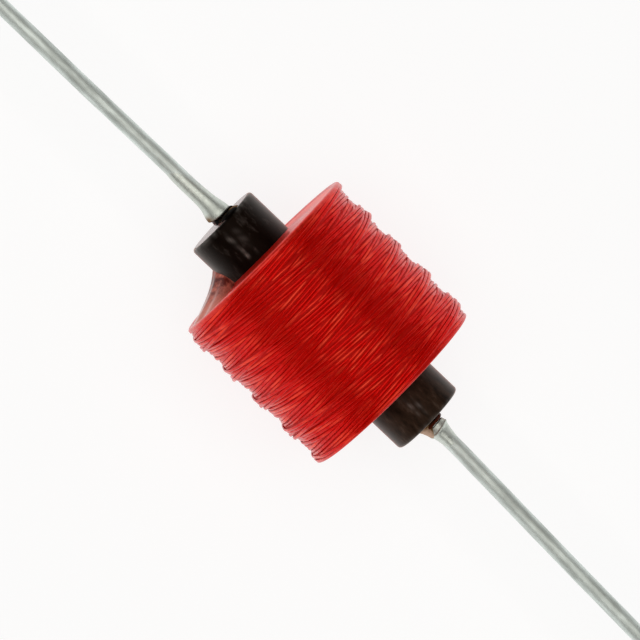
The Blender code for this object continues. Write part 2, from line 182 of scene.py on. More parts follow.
class Finish(bpy.types.PropertyGroup):
    """Colours, as sRGB hex values."""

    enamel: StringProperty(name="Enamel", description="Red enamel seen head on", default="EE0A00")
    # Also the red that wires are darkened towards, as painted shade, where they lie deep
    enamel_deep: StringProperty(
        name="Deep enamel", description="Red enamel under pooled varnish", default="C00600"
    )
    # Colour of the painted highlight strokes on the wire crests
    painted_glint: StringProperty(
        name="Gleam", description="Copper that gleams through thin enamel", default="FF4A30"
    )
    pooled: StringProperty(name="Pooled", description="Varnish between the turns", default="D61006")
    face: StringProperty(name="Face", description="Varnish on the coil's face", default="FF4630")
    face_deep: StringProperty(
        name="Deep face", description="Varnish on the face, near the core", default="E22414"
    )
    rim: StringProperty(name="Rim", description="Varnish gathered on a rim", default="FF3420")
    scorched: StringProperty(name="Scorched", description="Enamel burnt by the iron", default="4A1C0C")
    core: StringProperty(name="Core", description="Black fired rod", default="090503")
    core_sheen: StringProperty(name="Core sheen", description="The rod seen along its skin", default="FFBEAC")
    # Far lighter than the rod's own colour: partly a painted reflection of the white surround
    core_end: StringProperty(name="Core end", description="The rod's ground ends", default="86605A")
    dust: StringProperty(name="Dust", description="Dull dust on the rod", default="46362A")
    # Also the colour of the painted sheen on the rod's flanks
    scuff: StringProperty(name="Scuff", description="Rubbed places on the rod", default="A29E98")
    tin: StringProperty(name="Tin", description="Dull drawn tin", default="E6EEEA")
    aged_tin: StringProperty(name="Aged tin", description="Tin gone grey", default="A3A8A2")
    solder: StringProperty(name="Solder", description="Soft solder", default="D6DCD5")
    resin: StringProperty(name="Resin", description="Burnt flux resin", default="080403")
    amber: StringProperty(name="Amber", description="Thin flux resin", default="7C5C38")
    rosin: StringProperty(name="Rosin", description="Flux resin at its feather edge", default="D8B8A2")
    cement: StringProperty(name="Cement", description="Coil cement over red wire", default="E27C68")
    cement_deep: StringProperty(
        name="Deep cement", description="Coil cement blotched near the core", default="5E140C"
    )
    floor: StringProperty(name="Floor", description="White studio floor, unlit", default="888686")
    floor_dull: StringProperty(name="Dull floor", description="Dull clouds on the floor", default="848282")


class StageSizes(bpy.types.PropertyGroup):
    """Camera and lights."""

    width: FloatProperty(
        name="Width seen", description="Across the picture at the coil, in mm", default=37.12
    )
    field: FloatProperty(
        name="Field of view", description="Of the lens", default=math.radians(4.6), subtype="ANGLE"
    )
    tilt: FloatProperty(
        name="Tilt",
        description="Camera's lean towards the finish end",
        default=math.radians(4.75),
        subtype="ANGLE",
    )
    coil_seen_at: FloatVectorProperty(
        name="Coil's place",
        description="Coil's middle in the picture, in pixels from its top left",
        default=(327.3, 322.6),
        size=2,
    )
    softbox: FloatProperty(name="Softbox", description="Brightness of the lamp overhead", default=1.45)
    horizon: FloatProperty(name="Horizon", description="Brightness of the white surround", default=1.05)
    floor_glow: FloatProperty(name="Floor glow", description="Light from the floor itself", default=0.84)


def linear(hex_colour):
    """An sRGB hex value as Blender's linear RGBA."""
    parts = [int(hex_colour[i : i + 2], 16) / 255 for i in (0, 2, 4)]
    return [p / 12.92 if p <= 0.04045 else ((p + 0.055) / 1.055) ** 2.4 for p in parts] + [1.0]


# A colour Mix node's sockets, which share their names with its other kinds' sockets
SHARE, UNDER, OVER, MIXED = 0, 6, 7, 2


def add_node(tree, kind, inputs=(), out=0, **settings):
    """Adds a node, its kind given without the word ShaderNode, and gives back one of its outputs, if it has
    any. inputs gives each socket a value, or another node's output to link."""
    made = tree.nodes.new("ShaderNode" + kind)
    for name, value in settings.items():
        setattr(made, name, value)
    for socket, value in dict(inputs).items():
        if isinstance(value, bpy.types.NodeSocket):
            tree.links.new(value, made.inputs[socket])
        else:
            made.inputs[socket].default_value = value
    return made.outputs[out] if made.outputs else None


def surface(name):
    """Turns a function that gives a surface's settings into one that makes the material of that name. The
    function is handed add_node for the material's own tree and the part's own coordinates in millimetres,
    before its own arguments."""

    def turn_into_maker(give_settings):
        def make_material(*values):
            material = bpy.data.materials.new(name)
            material.use_nodes = True
            material.node_tree.nodes.clear()
            node = partial(add_node, material.node_tree)
            place = node("TexCoord", out="Object")
            place = node("VectorMath", {0: place, "Scale": 1 / MM}, operation="SCALE")
            shader = node("BsdfPrincipled", give_settings(node, place, *values))
            node("OutputMaterial", {"Surface": shader})
            return material

        return make_material

    return turn_into_maker


@surface("Enamelled copper wire, varnished")
def enamelled_wire_material(node, place, finish):
    """Red polyurethane enamel over copper, dipped in varnish: a translucent red skin that shines twice, a
    red glint off the copper below and a white one off the varnish. Its red is darkened as painted shade
    where a wire lies deep, and painted salmon highlight strokes run along the wire crests."""
    depth = node("Attribute", out="Fac", attribute_name="depth")
    strand = node("Attribute", out="Fac", attribute_name="strand")
    painted_glint = node("Attribute", out="Fac", attribute_name="painted_glint")
    # Clouds as wide as six or seven wires side by side
    cloud = node("TexNoise", {"Vector": place, "Scale": 1 / 1.4, "Detail": 3.0})
    tone = node("Math", {0: strand, 1: 0.08, 2: 0.12}, operation="MULTIPLY_ADD")
    # Painted shade: the red deepens where a wire lies deep between its neighbours
    tone = node("Math", {0: depth, 1: tone}, operation="ADD")
    tone = node("Math", {0: cloud, 1: 0.3, 2: tone}, operation="MULTIPLY_ADD", use_clamp=True)
    red = {SHARE: tone, UNDER: linear(finish.enamel), OVER: linear(finish.enamel_deep)}
    colour = node("Mix", red, MIXED, data_type="RGBA")
    # Painted highlight: salmon strokes along the wire crests, mixed over the red
    thin = node("MapRange", {"Value": painted_glint, "To Max": 0.9})
    copper = {SHARE: thin, UNDER: colour, OVER: linear(finish.painted_glint)}
    # Runs of varnish, about two wires wide
    runs = node("TexNoise", {"Vector": place, "Scale": 1 / 0.5, "Detail": 2.0})
    bump = node("Bump", {"Height": runs, "Strength": 1.0, "Distance": 0.05 * MM})
    return {
        "Base Color": node("Mix", copper, MIXED, data_type="RGBA"),
        "Metallic": 0.58,
        "Roughness": node("MapRange", {"Value": cloud, "To Min": 0.3, "To Max": 0.46}),
        "IOR": 1.15,
        "Coat Weight": 0.62,
        "Coat Roughness": 0.14,
        "Coat IOR": 1.17,
        "Normal": bump,
        "Coat Normal": bump,
    }


@surface("Varnish pooled over the wire")
def pooled_varnish_material(node, place, finish):
    """Varnish pooled between the turns: a duller, deep red with the soft bumps of the drowned wires."""
    bumps = node("TexNoise", {"Vector": place, "Scale": 1 / 0.35, "Detail": 3.0, "Roughness": 0.6})
    red = {SHARE: bumps, UNDER: linear(finish.enamel_deep), OVER: linear(finish.pooled)}
    return {
        "Base Color": node("Mix", red, MIXED, data_type="RGBA"),
        "Metallic": 0.3,
        "Roughness": 0.5,
        "IOR": 1.2,
        "Normal": node("Bump", {"Height": bumps, "Strength": 0.5, "Distance": 0.1 * MM}),
    }


@surface("Varnish over the coil's face")
def face_varnish_material(node, place, finish):
    """Varnish brushed over the turns' ends on the coil's face: red head on, and along it one sees the white
    round it laid over the red, which turns it pink."""
    near_core = node("Attribute", out="Fac", attribute_name="near_core")
    # Specks about as wide as the wire
    specks = node("TexNoise", {"Vector": place, "Scale": 1 / 0.25, "Detail": 3.0, "Roughness": 0.6})
    tone = node("MapRange", {"Value": near_core, "From Min": 0.25, "From Max": 0.9})
    tone = node("Math", {0: specks, 1: 0.5, 2: tone}, operation="MULTIPLY_ADD")
    tone = node("MapRange", {"Value": tone, "From Min": 0.2, "From Max": 1.1})
    red = {SHARE: tone, UNDER: linear(finish.face), OVER: linear(finish.face_deep)}
    bump = node("Bump", {"Height": specks, "Strength": 0.7, "Distance": 0.05 * MM})
    return {
        "Base Color": node("Mix", red, MIXED, data_type="RGBA"),
        "Metallic": 0.6,
        "Roughness": 0.4,
        "IOR": 1.2,
        "Coat Weight": 0.34,
        "Coat Roughness": 0.25,
        "Coat IOR": 1.45,
        "Normal": bump,
        "Coat Normal": bump,
    }


@surface("Varnish gathered on the rim")
def rim_varnish_material(node, place, finish):
    """Varnish gathered in a bead round a rim: thick and glassy over the red, so it mirrors the white round it
    as a salmon line."""
    runs = node("TexNoise", {"Vector": place, "Scale": 1 / 0.3, "Detail": 3.0})
    red = {SHARE: runs, UNDER: linear(finish.enamel_deep), OVER: linear(finish.rim)}
    bump = node("Bump", {"Height": runs, "Strength": 0.6, "Distance": 0.05 * MM})
    return {
        "Base Color": node("Mix", red, MIXED, data_type="RGBA"),
        "Metallic": 0.55,
        "Roughness": 0.38,
        "IOR": 1.2,
        "Coat Weight": 0.5,
        "Coat Roughness": 0.2,
        "Coat IOR": 1.42,
        "Normal": bump,
        "Coat Normal": bump,
    }


@surface("Enamelled copper wire, scorched end")
def scorched_wire_material(node, place, finish):
    """The coil's own wire where it met the soldering iron: red along the core, then burnt brown."""
    outward = node("Math", {0: node("SeparateXYZ", {0: place}, "X")}, operation="ABSOLUTE")
    cloud = node("TexNoise", {"Vector": place, "Scale": 1 / 0.3, "Detail": 2.0})
    # The burn starts at the core's ends, 8.3 mm out, with an uneven edge
    edge = node("Math", {0: cloud, 1: 0.6, 2: outward}, operation="MULTIPLY_ADD")
    burnt = node("MapRange", {"Value": edge, "From Min": 8.3, "From Max": 8.7})
    brown = {SHARE: burnt, UNDER: linear(finish.enamel_deep), OVER: linear(finish.scorched)}
    colour = node("Mix", brown, MIXED, data_type="RGBA")
    return {"Base Color": colour, "Metallic": 0.1, "Roughness": 0.35, "IOR": 1.12}


@surface("Fired iron dust rod, rubbed")
def core_material(node, place, finish):
    """Iron dust core, pressed and fired, then barrel-rubbed: a near black, fine-grained skin with a soft
    sheen. Faint dull rubs run along it, and the grain breaks the sheen up. A painted sheen lightens its
    flanks."""
    # Rubs, chips and worn edges, and the painted sheen on the flanks
    scuff = node("Attribute", out="Fac", attribute_name="scuff")
    # The real grain is about 0.02 mm, too fine to show, so it is drawn coarser
    grain = node("TexNoise", {"Vector": place, "Scale": 1 / 0.09, "Detail": 2.0})
    stretched = node("Mapping", {"Vector": place, "Scale": (0.4, 1, 1)})
    rubs = node("TexNoise", {"Vector": stretched, "Scale": 1 / 0.45, "Detail": 4.0, "Roughness": 0.6})
    rubbed = node("MapRange", {"Value": rubs, "From Min": 0.58, "From Max": 0.8, "To Max": 0.12})
    worn = node("Math", {0: rubbed, 1: scuff}, operation="ADD", use_clamp=True)
    # Dull brown dust clings to the start end
    along = node("SeparateXYZ", {0: place}, "X")
    dusted = {"Value": along, "From Min": 5.0, "From Max": 6.5, "To Min": 0.08, "To Max": 0.75}
    patches = node("MapRange", {"Value": rubs, "From Min": 0.25, "From Max": 0.66})
    dusty = node("Math", {0: node("MapRange", dusted), 1: patches}, operation="MULTIPLY")
    brown = {SHARE: dusty, UNDER: linear(finish.core), OVER: linear(finish.dust)}
    colour = node("Mix", brown, MIXED, data_type="RGBA")
    grey = {SHARE: worn, UNDER: colour, OVER: linear(finish.scuff)}
    return {
        "Base Color": node("Mix", grey, MIXED, data_type="RGBA"),
        "Roughness": node("MapRange", {"Value": rubs, "To Min": 0.28, "To Max": 0.46}),
        "IOR": 1.3,
        "Specular Tint": (0.16, 0.12, 0.1, 1),
        "Normal": node("Bump", {"Height": grain, "Strength": 0.5, "Distance": 0.008 * MM}),
        "Sheen Weight": 0.95,
        "Sheen Roughness": 0.2,
        "Sheen Tint": linear(finish.core_sheen),
    }


@surface("Fired iron dust, ground end")
def core_end_material(node, place, finish):
    """The rod's end, ground flat: finer than its moulded side, so at a glance it throws back the white round
    it. Its colour, far lighter than the rod's, partly paints that reflection in."""
    grain = node("TexNoise", {"Vector": place, "Scale": 1 / 0.12, "Detail": 3.0})
    return {
        # Partly a painted reflection: light brown standing in for the white surround seen at a glance
        "Base Color": linear(finish.core_end),
        "Roughness": node("MapRange", {"Value": grain, "To Min": 0.12, "To Max": 0.28}),
        "IOR": 1.45,
        "Normal": node("Bump", {"Height": grain, "Strength": 0.3, "Distance": 0.006 * MM}),
    }


@surface("Tinned copper wire, drawn")
def tinned_wire_material(node, place, finish):
    """Tinned copper, drawn through a die: a soft grey-white metal with fine lines along it and dull patches
    where the tin has aged."""
    # The die's lines, 0.07 mm apart and 40 times as long
    drawn = node("Mapping", {"Vector": place, "Scale": (1 / 40, 1, 1)})
    lines = node("TexNoise", {"Vector": drawn, "Scale": 1 / 0.07, "Detail": 3.0})
    worn = node("Mapping", {"Vector": place, "Scale": (1 / 3, 1, 1)})
    patches = node("TexNoise", {"Vector": worn, "Scale": 1 / 0.6, "Detail": 3.0})
    tone = node("MapRange", {"Value": patches, "From Min": 0.35, "From Max": 0.75, "To Max": 0.6})
    grey = {SHARE: tone, UNDER: linear(finish.tin), OVER: linear(finish.aged_tin)}
    return {
        "Base Color": node("Mix", grey, MIXED, data_type="RGBA"),
        "Metallic": 1.0,
        "Roughness": node("MapRange", {"Value": patches, "To Min": 0.5, "To Max": 0.7}),
        "Normal": node("Bump", {"Height": lines, "Strength": 0.6, "Distance": 0.01 * MM}),
    }


@surface("Soft solder, hand soldered")
def solder_material(node, place, finish):
    """Tin-lead solder, frozen after a hand iron: bright and smooth, with a faint crystal dullness and brown
    flux on its thin edges."""
    stain = node("Attribute", out="Fac", attribute_name="stain")
    crystals = node("TexVoronoi", {"Vector": place, "Scale": 1 / 0.14}, feature="SMOOTH_F1")
    brown = {SHARE: stain, UNDER: linear(finish.solder), OVER: linear(finish.amber)}
    return {
        "Base Color": node("Mix", brown, MIXED, data_type="RGBA"),
        "Metallic": 0.95,
        "Roughness": node("MapRange", {"Value": crystals, "To Min": 0.4, "To Max": 0.6}),
        "Normal": node("Bump", {"Height": crystals, "Strength": 0.35, "Distance": 0.012 * MM}),
    }


@surface("Rosin flux, burnt on")
def resin_material(node, place, finish):
    """Rosin flux, burnt on by the iron and dulled with soot: near black where it is thick, amber where it is
    thin and straw coloured at its feather edge."""
    thin = node("Attribute", out="Fac", attribute_name="thin")
    cloud = node("TexNoise", {"Vector": place, "Scale": 1 / 0.35, "Detail": 3.0})
    tone = node("MapRange", {"Value": cloud, "From Min": 0.55, "From Max": 0.8, "To Max": 0.25})
    tone = node("Math", {0: tone, 1: thin}, operation="ADD", use_clamp=True)
    clear = node("MapRange", {"Value": tone, "From Max": 0.55})
    brown = {SHARE: clear, UNDER: linear(finish.resin), OVER: linear(finish.amber)}
    colour = node("Mix", brown, MIXED, data_type="RGBA")
    film = node("MapRange", {"Value": tone, "From Min": 0.5, "From Max": 0.9})
    straw = {SHARE: film, UNDER: colour, OVER: linear(finish.rosin)}
    return {
        "Base Color": node("Mix", straw, MIXED, data_type="RGBA"),
        "Roughness": 0.5,
        "Specular IOR Level": 0.0,
        "Coat Weight": 0.05,
        "Coat Roughness": 0.15,
    }


@surface("Coil cement, brushed on")
def cement_material(node, place, finish):
    """Coil cement, brushed on clear: a milky, pink skin over the red wire, brown and blotched near the core,
    that greys where one looks along it."""
    near_core = node("Attribute", out="Fac", attribute_name="near_core")
    specks = node("TexNoise", {"Vector": place, "Scale": 1 / 0.3, "Detail": 3.0})
    tone = node("Math", {0: near_core, 1: specks}, operation="MULTIPLY")
    tone = node("MapRange", {"Value": tone, "From Min": 0.12, "From Max": 0.42, "To Max": 0.95})
    blotched = {SHARE: tone, UNDER: linear(finish.cement), OVER: linear(finish.cement_deep)}
    return {
        "Base Color": node("Mix", blotched, MIXED, data_type="RGBA"),
        "Roughness": 0.3,
        "IOR": 1.3,
        "Sheen Weight": 0.9,
        "Sheen Roughness": 0.35,
    }


@surface("White acrylic, lit from below")
def floor_material(node, place, finish, glow):
    """White acrylic, lit from below and faintly dull: an even white with hardly a shadow on it."""
    cloud = node("TexNoise", {"Vector": place, "Scale": 1 / 60, "Detail": 2.0})
    tone = node("MapRange", {"Value": cloud, "To Max": 0.3})
    white = {SHARE: tone, UNDER: linear(finish.floor), OVER: linear(finish.floor_dull)}
    return {
        "Base Color": node("Mix", white, MIXED, data_type="RGBA"),
        "Roughness": 0.9,
        "Specular IOR Level": 0.0,
        "Emission Color": (0.995, 1, 1, 1),
        "Emission Strength": glow,
    }


def loft(rings):
    """Corners and faces of a closed skin over rings of corners, with flat ends."""
    count, sides = rings.shape[:2]
    first = np.arange(count - 1)[:, None] * sides
    here, after = np.arange(sides), (np.arange(sides) + 1) % sides
    quads = np.stack([first + here, first + after, first + sides + after, first + sides + here], -1)
    faces = quads.reshape(-1, 4).tolist()
    faces.append(list(range(sides))[::-1])
    faces.append([(count - 1) * sides + i for i in range(sides)])
    return rings.reshape(-1, 3), faces


def unit(v):
    """Vectors brought to length 1."""
    return v / np.maximum(np.linalg.norm(v, axis=-1, keepdims=True), 1e-12)


def full_turn(count):
    """Evenly spaced angles round a circle, from 0."""
    return 2 * math.pi * np.arange(count) / count


def tube_rings(points, outward, radius, sides, height=1.0):
    """Rings along a wire's middle line. outward tells each ring which way its first corner points, and
    height is the ring's size that way, as a share of its width."""
    along = unit(np.gradient(points, axis=0))
    out = unit(outward - (outward * along).sum(-1, keepdims=True) * along)
    side = np.cross(along, out)
    turn = full_turn(sides)
    radius = np.broadcast_to(np.asarray(radius, float).reshape(-1, 1, 1), (len(points), 1, 1))
    flat = np.sin(turn)[None, :, None] * side[:, None]
    return points[:, None] + radius * (height * np.cos(turn)[None, :, None] * out[:, None] + flat)


def add_piece(name, lofts, material, slot, smooth_angle, **values):
    """Makes one object out of lofts, each a stack of rings, gives it its material and lets it ride on the
    part. values holds one number for each corner, kept as attributes for the material to read."""
    corner_list, face_list, start = [], [], 0
    for rings in lofts:
        skin_corners, skin_faces = loft(np.asarray(rings))
        corner_list.append(skin_corners)
        face_list += [[i + start for i in face] for face in skin_faces]
        start += len(skin_corners)
    mesh = bpy.data.meshes.new(name)
    mesh.from_pydata((np.concatenate(corner_list) * MM).tolist(), [], face_list)
    for key, numbers in values.items():
        attribute = mesh.attributes.new(key, "FLOAT", "POINT")
        attribute.data.foreach_set("value", np.ravel(numbers).astype(np.float32))
    mesh.polygons.foreach_set("use_smooth", [True] * len(mesh.polygons))
    mesh.set_sharp_from_angle(angle=math.radians(smooth_angle))
    mesh.materials.append(material)
    mesh.update()
    piece = bpy.data.objects.new(name, mesh)
    bpy.context.scene.collection.objects.link(piece)
    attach(piece, "root")
    return piece


def soft_noise(rng, count, knots):
    """A smooth random line of count numbers with about one bend for each of its knots."""
    heights = rng.normal(0, 1, knots + 2)
    place = np.linspace(0, knots, count)
    low = np.minimum(place.astype(int), knots)
    share = place - low
    share = share * share * (3 - 2 * share)
    return heights[low] * (1 - share) + heights[low + 1] * share


def blur(field, width, axis, mode):
    """Smooths a grid along one axis. mode says how its ends go on: wrap or edge."""
    weights = np.hanning(width + 2)[1:-1]
    pad = [(0, 0), (0, 0)]
    pad[axis] = (width // 2, width // 2)
    padded = np.pad(field, pad, mode=mode)
    return np.apply_along_axis(lambda line: np.convolve(line, weights / weights.sum(), "valid"), axis, padded)


# The map of the coil's height has a column of cells for each tenth of a wire along the coil
HALF_WIRE_CELLS = 5
RIM_CELLS = 8  # at each end, where the map is carried on level
RIM_CELL = 6  # where a rim's height is read
TURNS_MOST = 1400  # more than the coil ever takes


def smooth_pile(height):
    """The coil's height map without its single wires, carried on level over the last cells at each rim."""
    pile = height.copy()
    pile[:, :RIM_CELLS] = pile[:, RIM_CELLS : RIM_CELLS + 1]
    pile[:, -RIM_CELLS:] = pile[:, -RIM_CELLS - 1 : -RIM_CELLS]
    columns, lines = 25, 13  # along the coil and round it, that one cell is smoothed over
    return blur(blur(pile, columns, 1, "edge"), lines, 0, "wrap")


def guide_wire(sizes, reach):
    """The wire guide's path, reach to either side: the wire's place along the coil at every point of every
    turn, and the number of the crossing that it belongs to."""
    rng = np.random.default_rng(sizes.seed)
    there_and_back = sizes.traverses - 1 / sizes.wires_per_lead
    point = np.arange(TURNS_MOST * sizes.points_per_turn)
    trip = point / sizes.points_per_turn / there_and_back
    rounded = 0.9996  # 1 would turn the guide round with sharp corners
    along = reach * np.arcsin(rounded * np.sin(2 * math.pi * trip)) / math.asin(rounded)
    crossing = (2 * trip + 0.5).astype(int)
    # Most turn-arounds fall short by a little, and a few by much more
    along *= (1 - rng.beta(1.2, 3.0, crossing[-1] + 1) * sizes.short_fall)[crossing]
    bends = len(point) * 3 // sizes.points_per_turn  # three in each turn
    along += sizes.wander * soft_noise(rng, len(point), bends)
    return np.clip(along, -reach, reach), crossing


def pull_tight(floor, straight):
    """The radii of a wire pulled tight over a floor of radii. straight is how far a straight wire dips
    between neighbouring points."""
    wire = floor.copy()
    for _ in range(12):
        wire[1:-1] = np.maximum(floor[1:-1], (wire[:-2] + wire[2:]) / 2 - straight)
    return wire


def wind_coil(sizes, inner):
    """Winds the coil as the machine does, turn by turn, and keeps a map of how high the wire has piled up.

    Each turn rests on the highest wire below it and is pulled straight between rests. After each trip there
    and back the pile settles, which spreads hollows and heaps. Returns the wire's middle line as places
    along the coil, angles and radii, the crossing that each point belongs to, the finished map, and the
    places of its columns.
    """
    turn_points, half_wire = sizes.points_per_turn, sizes.wire / 2
    reach = sizes.length / 2 - half_wire * 0.8
    along, crossing = guide_wire(sizes, reach)
    cell = half_wire / HALF_WIRE_CELLS
    beside = np.arange(-HALF_WIRE_CELLS, HALF_WIRE_CELLS + 1)
    crown = np.sqrt(np.maximum(half_wire**2 - (beside * cell) ** 2, 0))
    columns = int(round(sizes.length / cell)) + 1
    places = np.linspace(-sizes.length / 2, sizes.length / 2, columns)
    column = np.round((along + sizes.length / 2) / cell).astype(int)
    column = np.clip(column, HALF_WIRE_CELLS, columns - 1 - HALF_WIRE_CELLS)
    rim = sizes.rim_drop * np.clip((np.abs(places) - reach + 0.6) / 0.6, 0, 1) ** 2
    outer = sizes.diameter / 2 - 0.12  # where the pile's mean height ends
    settling = 0.3  # share of its hills and hollows that goes after each trip

    height = np.full((turn_points, columns), inner)
    sunk = np.zeros_like(height)
    radius, sunk_before = np.zeros(len(along)), np.zeros(len(along))
    ahead = 12  # points of the next turn that the wire already feels
    rest, wound, turn = inner + half_wire, 0, 0
    while wound + turn_points + ahead < len(along):
        look = np.arange(wound, wound + turn_points + ahead)
        line = look % turn_points
        cells = column[look][:, None] + beside
        touch = (height[line[:, None], cells] + crown).max(1)
        straight = touch.mean() * (2 * math.pi / turn_points) ** 2 / 2
        wire = pull_tight(np.concatenate([[rest], touch]), straight)
        rest, wire = wire[turn_points], wire[1 : turn_points + 1]
        now, line, cells = slice(wound, wound + turn_points), line[:turn_points], cells[:turn_points]
        radius[now] = wire
        sunk_before[now] = sunk[line, column[now]]
        height[line[:, None], cells] = np.maximum(height[line[:, None], cells], wire[:, None] + crown)
        wound, turn = wound + turn_points, turn + 1
        if turn % sizes.traverses == 0:
            pile = smooth_pile(height)
            step = -settling * (pile - (pile.mean() - rim))
            sunk += step
            height += step
            if pile.mean() >= outer:
                break
    along, column, radius, crossing = along[:wound], column[:wound], radius[:wound], crossing[:wound]
    point = np.arange(wound)
    settled = sunk[point % turn_points, column] - sunk_before[:wound]
    radius += settled * (radius - inner) / (outer - inner)
    return along, 2 * math.pi * point / turn_points, radius, crossing, smooth_pile(height), places


def bed_wires(sizes, inner, turn, cell, radius, level, places):
    """Beds the wires in varnish that has levelled the coil, and brings the coil to its diameter. cell picks
    each point of the wire in the height map. Returns the radii, the levelled map and how deep each point
    lies, from 0 on a crest to 1."""
    half_wire, outer = sizes.wire / 2, sizes.diameter / 2
    # Varnish ran down and filled the hollows above and below more than those at the sides, but less over
    # the last columns towards each rim
    last = 80
    calm = np.interp(places, places[[0, last, -last, -1]], [0, 1, 1, 0]) * sizes.levelling
    gap = level[cell] - half_wire - radius
    level = level - (level - level.mean()) * np.sin(turn)[:, None] ** 2 * calm
    local = level[cell] - half_wire
    proudest, deepest = -0.09, 0.3  # how far over and under the levelled skin a wire may lie, in mm
    radius = local - np.clip(gap * sizes.relief, proudest, deepest)
    radius += half_wire * (1 - sizes.bedding)  # so that a bedded wire's crest stays where it was
    over_mean = 0.06  # how far the proudest wires stand over the coil's mean height, in mm
    shift = (outer - over_mean - level.mean()) / (outer - inner)
    radius += shift * (radius - inner)
    level += shift * (level - inner)
    return radius, level, np.clip((local - radius) / sizes.wire + 0.2, 0, 1)


def painted_glint_strokes(rng, sizes, along, angle):
    """How much painted highlight each point gets: short strokes along the crests, and more at the start rim.
    """
    painted_glint = soft_noise(rng, len(along), len(along) // 2) * 0.8 + 0.3 * (along > sizes.length / 2 - 0.6)
    # The painted highlight fades in two bands, one each side of the top, where the lighting leaves the coil
    # darker: their middles and half their width
    middle, half_width = 25, 11
    from_top = np.degrees(np.abs((angle + math.pi / 2) % (2 * math.pi) - math.pi))
    hidden = 0.8 * np.exp(-(((from_top - middle) / half_width) ** 4))
    return np.clip(painted_glint, 0, 1) * (1 - hidden)


def lean_face(points, sizes):
    """Moves points near the finish face as that face leans: its top outward and its foot a little inward."""
    near = np.clip((COIL_CENTRE[0] - points[..., 0] - 1.4) / 4, 0, 1) ** 2
    up = points[..., 2] - COIL_CENTRE[2]
    points[..., 0] -= math.tan(sizes.face_lean) * np.where(up > 0, up, 0.45 * up) * near
    return points


def round_coil(along, angle, radius, sizes):
    """Points round the coil's axis, which leans a little in the plan, moved as the finish face leans."""
    side = radius * np.cos(angle) + along * math.tan(sizes.lean)
    return lean_face(COIL_CENTRE + np.stack([along, side, radius * np.sin(angle)], -1), sizes)


def coil_rings(places, turn, radii, sizes):
    """Rings round the coil, one at each place along it."""
    return np.array([round_coil(np.full(len(turn), x), turn, r, sizes) for x, r in zip(places, radii)])


def core_rings(x, r, turn, sizes):
    """Rings round the rod's own axis, which leans from the coil's: x along it and r out from it."""
    along = np.array([math.cos(sizes.lean), math.sin(sizes.lean), 0.0])
    across = np.array([-math.sin(sizes.lean), math.cos(sizes.lean), 0.0])
    up = np.array([0.0, 0.0, 1.0])
    outward = np.cos(turn)[None, :, None] * across + np.sin(turn)[None, :, None] * up
    return CORE_CENTRE + x[..., None] * along + r[..., None] * outward


def middle_line(node, count):
    """The middle line of a long round solid that lies along X, read off the solid itself."""
    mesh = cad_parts[node].data
    points = np.empty(len(mesh.vertices) * 3)
    mesh.vertices.foreach_get("co", points)
    points = points.reshape(-1, 3) / MM
    edges = np.empty(len(mesh.edges) * 2, int)
    mesh.edges.foreach_get("vertices", edges)
    ends = points[edges.reshape(-1, 2)]
    low, high = points[:, 0].min(), points[:, 0].max()
    line = []
    for x in np.linspace(low + 0.05, high - 0.05, count):
        cut = ends[(ends[:, 0, 0] - x) * (ends[:, 1, 0] - x) < 0]
        share = (x - cut[:, 0, 0]) / (cut[:, 1, 0] - cut[:, 0, 0])
        section = cut[:, 0] + share[:, None] * (cut[:, 1] - cut[:, 0])
        line.append((section.min(0) + section.max(0)) / 2)
    return np.array(line)


def on_line(line, x):
    """The point of a middle line at x."""
    return np.array([np.interp(x, line[:, 0], line[:, axis]) for axis in range(3)])


